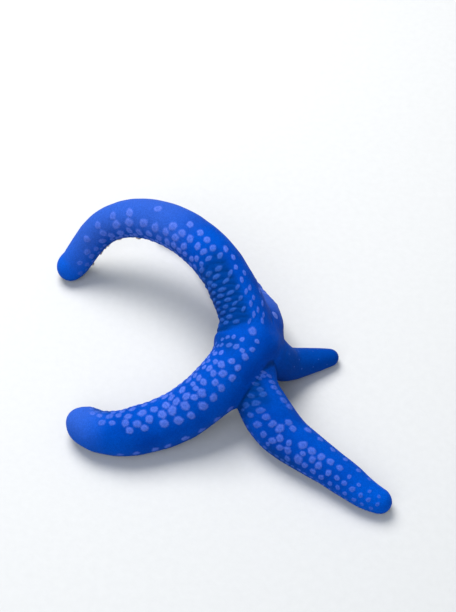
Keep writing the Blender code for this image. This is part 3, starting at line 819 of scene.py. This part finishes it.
def math_node(tree, operation, first, second):
    node = add_node(tree, "Math", operation=operation)
    for socket, value in zip(node.inputs, (first, second)):
        feed(tree, socket, value)
    return node.outputs[0]


def mapped(tree, value, low, high, to_low=0.0, to_high=1.0):
    """A value moved smoothly from one range to another, and held at its ends."""
    node = add_node(tree, "MapRange", interpolation_type="SMOOTHSTEP")
    set_values(node, From_Min=low, From_Max=high, To_Min=to_low, To_Max=to_high)
    tree.links.new(value, node.inputs["Value"])
    return node.outputs["Result"]


def mix_colour(tree, factor, first, second, blend="MIX"):
    node = add_node(tree, "Mix", data_type="RGBA", blend_type=blend)
    for number, value in zip((0, 6, 7), (factor, first, second)):
        feed(tree, node.inputs[number], value)
    return node.outputs[2]


def tinted(tree, colour, name, tint, amount=1.0):
    """A colour turned to a tint as far as a value of the skin says."""
    factor = math_node(tree, "MULTIPLY", attribute(tree, name), amount)
    return mix_colour(tree, factor, colour, tint)


def texture(tree, kind, scale, output, **values):
    """A texture in the object's own coordinates."""
    place = add_node(tree, "TexCoord")
    node = add_node(tree, kind, Scale=scale, **values)
    tree.links.new(place.outputs["Object"], node.inputs["Vector"])
    return node.outputs[output]


def bump(tree, height, distance, strength=1.0, under=None):
    node = add_node(tree, "Bump", Strength=strength, Distance=distance)
    tree.links.new(height, node.inputs["Height"])
    if under is not None:
        tree.links.new(under, node.inputs["Normal"])
    return node.outputs["Normal"]


def set_shader(tree, colour, roughness, normal, **values):
    shader = set_values(tree.nodes["Principled BSDF"], **values)
    for name, value in (("Base Color", colour), ("Roughness", roughness), ("Normal", normal)):
        tree.links.new(value, shader.inputs[name])


def spot_colour(tree, colour):
    """Lays the lilac spots over a colour: paler rims, bluer middles, dark pores and ragged edges, with
    painted shade over them in the shaded patches and on the flanks.
    """
    wander = texture(tree, "TexNoise", RAGS, "Fac", Detail=2.0)
    ragged = math_node(tree, "MULTIPLY", math_node(tree, "SUBTRACT", wander, 0.5), 0.45)
    edge = math_node(tree, "ADD", attribute(tree, "spot"), ragged)
    lilac = mix_colour(tree, mapped(tree, edge, 0.25, 0.85), SPOT_RIM, SPOT_MIDDLE)
    pores = mapped(tree, texture(tree, "TexVoronoi", PORES, "Distance"), 0.10, 0.34, 0.55, 0.0)
    lilac = mix_colour(tree, pores, lilac, PORE_BLUE)
    # Painted shade over the spots in the shaded patches
    lilac = tinted(tree, lilac, "patch_shade", PATCH_SHADE_SPOT, 0.7)
    # Painted shade over the spots on the flanks
    lilac = tinted(tree, lilac, "flank_shade", FLANK_SHADE_TEAL, 0.4)
    cover = math_node(tree, "MULTIPLY", mapped(tree, edge, -0.20, 0.40), attribute(tree, "strength"))
    return mix_colour(tree, math_node(tree, "MULTIPLY", cover, 0.95), colour, lilac)


def skin_colour(tree, specks, granule_top):
    """Blue that turns with the painted light and shade the skin keeps, with the spots, the groove and a fine
    grain over it, and painted shade between the granules.
    """
    blotches = texture(tree, "TexNoise", BLOTCHES, "Fac", Detail=3.0)
    colour = mix_colour(tree, mapped(tree, blotches, 0.3, 0.7), DEEP_BLUE, BRIGHT_BLUE)
    # Painted light on the tips
    colour = tinted(tree, colour, "tip", LIT_TIP_BLUE)
    # Painted light and sheen on the backs
    colour = tinted(tree, colour, "lit_sheen", LIT_SHEEN_BLUE, 0.75)
    # Painted shade on the flanks
    colour = tinted(tree, colour, "flank_shade", FLANK_SHADE_TEAL)
    # Painted shade over the patches of furrows
    colour = tinted(tree, colour, "patch_shade", PATCH_SHADE_BLUE, 0.85)
    # Painted shade on the short arm
    colour = tinted(tree, colour, "arm_shade", SHORT_ARM_SHADE_BLUE)
    # Painted shade darkens the furrows and the creases between arms
    furrow = mapped(tree, attribute(tree, "furrow"), 0.15, 0.95, 0.0, 0.7)
    colour = spot_colour(tree, mix_colour(tree, furrow, colour, FURROW_SHADE_TEAL))
    colour = tinted(tree, colour, "groove", GROOVE_COLOUR)
    # Painted shade between the granules
    colour = mix_colour(tree, mapped(tree, granule_top, 0.0, 1.0, 0.26, 0.0), colour, GRAIN_SHADE)
    return mix_colour(tree, 0.25, colour, mix_colour(tree, specks, SPECK_DARK, SPECK_LIGHT), "MULTIPLY")


def skin_material():
    material, tree = new_material("skin")
    specks = texture(tree, "TexNoise", SPECKS, "Fac", Detail=2.0)
    granules = texture(tree, "TexVoronoi", GRANULES, "Distance")
    granule_top = mapped(tree, granules, 0.75, 0.05)
    normal = bump(tree, granule_top, 0.00010, 0.7)
    normal = bump(tree, specks, 0.00012, 0.6, normal)
    roughness = mapped(tree, specks, 0.2, 0.8, 0.46, 0.64)
    gloss = {"IOR": 1.12, "Specular_IOR_Level": 0.2, "Specular_Tint": (0.3, 0.5, 1.0, 1.0)}
    sheen = {"Sheen_Weight": 0.02, "Sheen_Roughness": 0.35, "Sheen_Tint": (0.20, 0.40, 1.0, 1.0)}
    set_shader(tree, skin_colour(tree, specks, granule_top), roughness, normal, **gloss, **sheen)
    return material


def simple_material(name, dark, light, scale, grain_depth, softness):
    """A mottled material with a grainy bump, for the small pieces."""
    material, tree = new_material(name)
    patches = texture(tree, "TexNoise", scale, "Fac", Detail=3.0)
    grain = bump(tree, texture(tree, "TexVoronoi", 4 * scale, "Distance"), grain_depth)
    colour = mix_colour(tree, mapped(tree, patches, 0.3, 0.7), dark, light)
    roughness = mapped(tree, patches, 0.2, 0.8, 0.35, 0.6)
    set_shader(tree, colour, roughness, grain, Subsurface_Weight=softness, Subsurface_Scale=0.001)
    return material


# Pieces, with sizes of feet and spines in arm radii
FLOOR_GAP = 0.0003  # under feet and eyespots
FOOT_SEED = 5
FOOT_STEP = 0.0023  # metres, as are the stray and the start
FOOT_STRAY = 0.0003
FOOT_START = 0.0075
FOOT_END = 0.45  # before the tip
FOOT_SIDES = 8
FOOT_ROOTS = (0.075, 0.135)  # aside, of the inner and the outer row
FOOT_ROOT_UP = -0.46
FOOT_REACH = 0.24  # below the sole, where the ground leaves room
FOOT_LENGTHS = (0.55, 1.2)  # shares of the reach
FOOT_SPLAY = (0.10, 0.22)  # of the inner and the outer row at full reach
FOOT_SPLAY_STRAY = 0.03
FOOT_LEAN = 0.08
FOOT_BEND = (0.1, 0.05)  # most to and fro, and aside
FOOT_RADIUS = 0.062
FOOT_WIDTHS = (0.85, 1.15)
FOOT_PROFILE = (  # (share of the way down, width)
    (0.00, 1.25), (0.12, 1.05), (0.24, 1.12), (0.36, 0.98), (0.48, 1.05), (0.60, 0.92), (0.72, 0.98),
    (0.82, 0.86), (0.88, 0.90), (0.92, 1.45), (0.96, 1.75), (1.00, 1.62), (0.985, 1.05), (0.955, 0.45),
)
SPINE_SEED = 9
SPINE_SIDES = 6
SPINE_START = 0.0055  # metres, as are the next two
SPINE_STRAY = 0.0001
SPINE_GAP = 0.00002  # off the floor
SPINE_END = 0.5  # before the tip
SPINE_LEAN = 0.03
SPINE_WIDTHS = (0.85, 1.2)
# Two rows a side: (step in metres, (aside, up) of the root and of the tip, half width)
SPINE_ROWS = (
    (0.00085, (0.205, -0.76), (0.085, -0.83), 0.024),
    (0.00130, (0.235, -0.85), (0.190, -0.93), 0.040),
)
SPINE_PROFILE = ((0.0, 0.9), (0.35, 1.1), (0.7, 1.0), (0.92, 0.7), (1.0, 0.25))
MOUTH_RINGS = 10
MOUTH_TURNS = 80
MOUTH_OPENING = 0.16  # of the skin's radius
MOUTH_FIT = 0.93  # of the hollow's radius
MOUTH_FOLDS = 20
MOUTH_FOLD_DEPTH = 0.00018
MOUTH_SAG = 0.0006
MOUTH_THICKNESS = 0.0004
MOUTH_DEPTH = 0.0022  # of its skin above the rim
JAW_SPINES = 5
JAW_STEP = 0.17  # radians
JAW_ENDS = ((0.92, -0.0010), (0.45, -0.0016))  # (out in the mouth's radii, up from its skin)
JAW_RADIUS = 0.00034
JAW_SIDES = 8
SIEVE = {"heading": 49, "tilt": 17, "radius": 0.0021, "oval": 0.86, "height": 0.00055, "sunk": 0.0001}
SIEVE_TOP = 0.06  # its first ring, of its radius
SIEVE_RIDGES = 17
SIEVE_WANDER = 1.1  # swing of the ridges, in radians of their wave
SIEVE_RELIEF = 0.00009
SIEVE_FORK = 0.62  # how far out they fork
SIEVE_TURNS = 120
SIEVE_RINGS = 14
SIEVE_SEARCH = 0.0012  # from the line to its place
SIEVE_ROOM = 0.0022  # round its place, for the slope
EYE_RADIUS = 0.00042
EYE_TILT = math.radians(38)  # down from forward
EYE_SUNK = 0.97  # of the tip's radius


def straight_piece(start, end, profile, size, sides, across):
    """(points, faces) of a round piece from one point to another; its profile may turn back."""
    direction = unit(end - start)
    first = unit(np.cross(direction, across))
    second = np.cross(direction, first)
    turns = np.arange(sides) * math.tau / sides
    ring = np.cos(turns)[:, None] * first + np.sin(turns)[:, None] * second
    shares, widths = np.array(profile).T
    route = start + (end - start) * shares[:, None]
    points = route[:, None] + ring * (widths * size)[:, None, None]
    return points.reshape(-1, 3), tube_faces(len(route), sides)


def one_foot(arm, place, hand, row, draw):
    """A tube foot: a wrinkled stem and a cupped sucker, which stays off the ground."""
    middle, forward, side, up, radius = one_place(arm, place)
    room = (middle - up * SOLE * radius)[2] - FLOOR_GAP
    reach = min(FOOT_REACH * draw.uniform(*FOOT_LENGTHS), room / radius)
    splay = FOOT_SPLAY[row] * max(reach, 0) / FOOT_REACH + draw.uniform(-FOOT_SPLAY_STRAY, FOOT_SPLAY_STRAY)
    aside = side * hand
    root = middle + (aside * FOOT_ROOTS[row] + up * FOOT_ROOT_UP) * radius
    end = middle + (aside * (FOOT_ROOTS[row] + splay) - up * (SOLE + reach)) * radius
    end = end + forward * draw.uniform(-FOOT_LEAN, FOOT_LEAN) * radius
    size = FOOT_RADIUS * radius * draw.uniform(*FOOT_WIDTHS)
    points, faces = straight_piece(root, end, FOOT_PROFILE, size, FOOT_SIDES, forward)
    shares = np.repeat([share for share, _ in FOOT_PROFILE], FOOT_SIDES)[:, None]
    lengthwise, sideways = FOOT_BEND
    bend = (forward * draw.uniform(-lengthwise, lengthwise) + aside * sideways) * radius
    points = points + bend * 4 * shares * (1 - shares)
    points[:, 2] = np.maximum(points[:, 2], FLOOR_GAP / 3)
    return points, faces


def tube_feet():
    """The feet in four rows along each groove."""
    draw = random.Random(FOOT_SEED)
    parts = []
    for arm in ARMS.values():
        along = FOOT_START
        while along < arm["length"] - FOOT_END * arm["line"]["radius"][-1, 0]:
            for hand in (-1, 1):
                for row in range(len(FOOT_ROOTS)):
                    place = along + FOOT_STEP * (0.5 * row + 0.25 * (hand > 0))
                    place += draw.uniform(-1, 1) * FOOT_STRAY
                    parts.append(one_foot(arm, place, hand, row, draw))
            along += FOOT_STEP
    return make_object("tube_feet", parts)


def one_spine(arm, along, hand, root, tip, size, draw):
    """A blunt peg at the edge of the groove."""
    place = along + draw.uniform(-1, 1) * SPINE_STRAY
    middle, forward, side, up, radius = one_place(arm, place)
    start, stop = (middle + (side * hand * x + up * y) * radius for x, y in (root, tip))
    stop = stop + forward * draw.uniform(-SPINE_LEAN, SPINE_LEAN) * radius
    grown = size * radius * draw.uniform(*SPINE_WIDTHS)
    points, faces = straight_piece(start, stop, SPINE_PROFILE, grown, SPINE_SIDES, forward)
    points[:, 2] = np.maximum(points[:, 2], SPINE_GAP)
    return points, faces


def groove_spines():
    """Spines that lean over the groove from both of its edges."""
    draw = random.Random(SPINE_SEED)
    parts = []
    for arm in ARMS.values():
        end = arm["length"] - SPINE_END * arm["line"]["radius"][-1, 0]
        for step, root, tip, size in SPINE_ROWS:
            for hand in (-1, 1):
                for along in np.arange(SPINE_START, end, step):
                    parts.append(one_spine(arm, along, hand, root, tip, size, draw))
    return make_object("groove_spines", parts)


def net(first, rings, turns):
    """(ring, turn) of the points of a round net, with its rings in shares of its radius."""
    return np.meshgrid(np.linspace(first, 1, rings), np.arange(turns) * math.tau / turns, indexing="ij")


def mouth_skin(centre):
    """(points, faces) of the mouth's folded skin, round a small opening."""
    ring, turn = net(MOUTH_OPENING, MOUTH_RINGS, MOUTH_TURNS)
    folds = MOUTH_FOLD_DEPTH * np.cos(MOUTH_FOLDS * turn) * np.sin(math.pi * ring)
    x = MOUTH_RADIUS * MOUTH_FIT * ring * np.cos(turn)
    y = MOUTH_RADIUS * MOUTH_FIT * ring * np.sin(turn)
    z = folds - MOUTH_SAG * np.cos(math.pi * ring) ** 2
    under = centre + np.stack([x, y, z], -1)
    above = centre + np.stack([x, y, z + MOUTH_THICKNESS], -1)[::-1]
    points = np.concatenate([under, above]).reshape(-1, 3)
    return points, band_faces(2 * MOUTH_RINGS, MOUTH_TURNS, 2 * MOUTH_RINGS)


def jaw_spines(centre):
    """The spines of the five jaws, which stand between the arms."""
    spines = []
    headings = sorted(arm["headings"][0] % 360 for arm in ARMS.values())
    for first, second in zip(headings, headings[1:] + [headings[0] + 360]):
        middle = math.radians((first + second) / 2)
        for i in range(JAW_SPINES):
            heading = middle + (i - (JAW_SPINES - 1) / 2) * JAW_STEP
            x, y = MOUTH_RADIUS * math.cos(heading), MOUTH_RADIUS * math.sin(heading)
            start, end = (centre + (x * out, y * out, up) for out, up in JAW_ENDS)
            spines.append(straight_piece(start, end, SPINE_PROFILE, JAW_RADIUS, JAW_SIDES, (0, 0, 1)))
    return spines


def mouth_membrane():
    """The mouth's skin with the spines of its jaws."""
    centre = HUB - np.array((0, 0, SOLE * DOME[2] - MOUTH_DEPTH))
    return make_object("mouth_membrane", [mouth_skin(centre), *jaw_spines(centre)])


def surface_at(skin, outward):
    """The point of the skin farthest out along a line from HUB, and the normal round it."""
    points, normals = surface_of(skin)
    off = points - HUB
    along = off @ outward
    aside = np.linalg.norm(off - along[:, None] * outward, axis=1)
    near = np.nonzero((aside < SIEVE_SEARCH) & (along > 0))[0]
    place = points[near[np.argmax(along[near])]]
    around = np.linalg.norm(points - place, axis=1) < SIEVE_ROOM
    return place, unit(normals[around].mean(0))


def madreporite(skin):
    """The sieve plate: a low dome whose ridges run out from its middle and fork."""
    _, _, outward = ball(SIEVE["tilt"], SIEVE["heading"])
    place, normal = surface_at(skin, outward[0, 0])
    first = unit(np.cross(normal, (0, 0, 1)))
    second = np.cross(normal, first)
    ring, turn = net(SIEVE_TOP, SIEVE_RINGS, SIEVE_TURNS)
    phase = SIEVE_RIDGES * turn + SIEVE_WANDER * np.sin(3 * turn + 4 * ring)
    wave, forked = np.sin(phase), np.sin(2 * phase)
    ridges = np.where(ring > SIEVE_FORK, forked, wave) * np.sin(math.pi * np.clip(ring, 0, 1)) ** 0.6
    height = SIEVE["height"] * (1 - ring**3) + SIEVE_RELIEF * ridges - SIEVE["sunk"]
    x = SIEVE["radius"] * ring * np.cos(turn)
    y = SIEVE["radius"] * SIEVE["oval"] * ring * np.sin(turn)
    points = place + x[..., None] * first + y[..., None] * second + height[..., None] * normal
    return make_object("madreporite", [(points.reshape(-1, 3), tube_faces(SIEVE_RINGS, SIEVE_TURNS))])


def eyespots():
    """A small dark bead under the very tip of each arm, where its groove ends."""
    tilt, turn, shape = ball(np.arange(-80, 81, 16), np.arange(0, 360, 20))
    shape = shape * (1 + 0.05 * np.sin(5 * turn) * np.cos(3 * tilt))[..., None]
    faces = tube_faces(*tilt.shape)
    parts = []
    for arm in ARMS.values():
        middle, forward, _, up, radius = one_place(arm, arm["length"])
        outward = forward * math.cos(EYE_TILT) - up * math.sin(EYE_TILT)
        centre = middle - forward * radius + outward * radius * EYE_SUNK
        centre[2] = max(centre[2], EYE_RADIUS + FLOOR_GAP)
        parts.append(((centre + shape * EYE_RADIUS).reshape(-1, 3), faces))
    return make_object("eyespots", parts)


# The camera, the light and the floor
ELEVATION = math.radians(53)  # of the photo's view, down from level
CAMERA_DISTANCE = 0.56  # from the disc's middle, along the view
PIXEL = 0.00044  # at the disc
HUB_PIXEL = (253, 343)
IMAGE = (456, 612)
SENSOR = 36  # millimetres, for the longer side
LIGHTS = {  # (place, size, power, colour); they point at the origin
    "key": ((-0.22, 0.42, 0.85), 0.6, 12.0, (1.0, 0.98, 0.95)),
    "fill": ((-0.3, -0.7, 0.7), 0.9, 4.0, (0.92, 0.96, 1.0)),
}
SKY_COLOUR = (0.85, 0.92, 1.0, 1.0)
SKY_STRENGTH = 0.36
FLOOR_HALF = 3.0
FLOOR_DARK, FLOOR_LIGHT = (0.60, 0.61, 0.62), (0.66, 0.67, 0.68)


def camera():
    view = Vector((0, math.cos(ELEVATION), -math.sin(ELEVATION)))
    up = Vector((0, math.sin(ELEVATION), math.cos(ELEVATION)))
    right = Vector((1, 0, 0))
    aside = (HUB_PIXEL[0] - IMAGE[0] / 2) * PIXEL
    below = (HUB_PIXEL[1] - IMAGE[1] / 2) * PIXEL
    data = bpy.data.cameras.new("camera")
    data.sensor_width = SENSOR
    data.lens = CAMERA_DISTANCE / PIXEL * SENSOR / IMAGE[1]
    data.clip_start = 0.01
    place = Vector(HUB) - view * CAMERA_DISTANCE - right * aside + up * below
    turn = Matrix((right, up, -view)).transposed().to_4x4()
    obj = new_object("camera", data)
    obj.matrix_world = Matrix.Translation(place) @ turn
    bpy.context.scene.camera = obj


def soft_light(name, place, size, power, colour):
    data = bpy.data.lights.new(name, "AREA")
    data.size = size
    data.energy = power
    data.color = colour
    light = new_object(name, data)
    light.location = place
    light.rotation_euler = (-Vector(place)).to_track_quat("-Z", "Y").to_euler()


def plain_floor():
    corners = np.array(((-1, -1, 0), (1, -1, 0), (1, 1, 0), (-1, 1, 0))) * FLOOR_HALF
    floor = make_object("floor", [(corners, [(0, 1, 2, 3)])])
    material, tree = new_material("floor")
    grain = texture(tree, "TexNoise", 300.0, "Fac", Detail=4.0)
    colour = mix_colour(tree, grain, FLOOR_DARK, FLOOR_LIGHT)
    set_shader(tree, colour, mapped(tree, grain, 0.2, 0.8, 0.75, 0.9), bump(tree, grain, 0.0001))
    floor.data.materials.append(material)


def stage():
    """The floor, the two lights and the even light from all round."""
    plain_floor()
    for name, values in LIGHTS.items():
        soft_light(name, *values)
    world = bpy.data.worlds.new("world")
    bpy.context.scene.world = world
    world.use_nodes = True
    set_values(world.node_tree.nodes["Background"], Color=SKY_COLOUR, Strength=SKY_STRENGTH)
    bpy.context.scene.view_settings.view_transform = "Standard"


def finish_piece(obj, material):
    obj.data.materials.append(material)
    obj.data.shade_smooth()
    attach(obj, "root")


def main():
    for arm in ARMS.values():
        trace(arm)
    skin = body()
    dress(skin)
    finish_piece(skin, skin_material())
    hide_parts(*NODES)
    small = (tube_feet(), groove_spines(), mouth_membrane(), madreporite(skin), eyespots())
    for piece, (slot, look) in zip(small, SMALL_LOOKS.items()):
        finish_piece(piece, simple_material(slot, *look))
    stage()
    camera()


main()
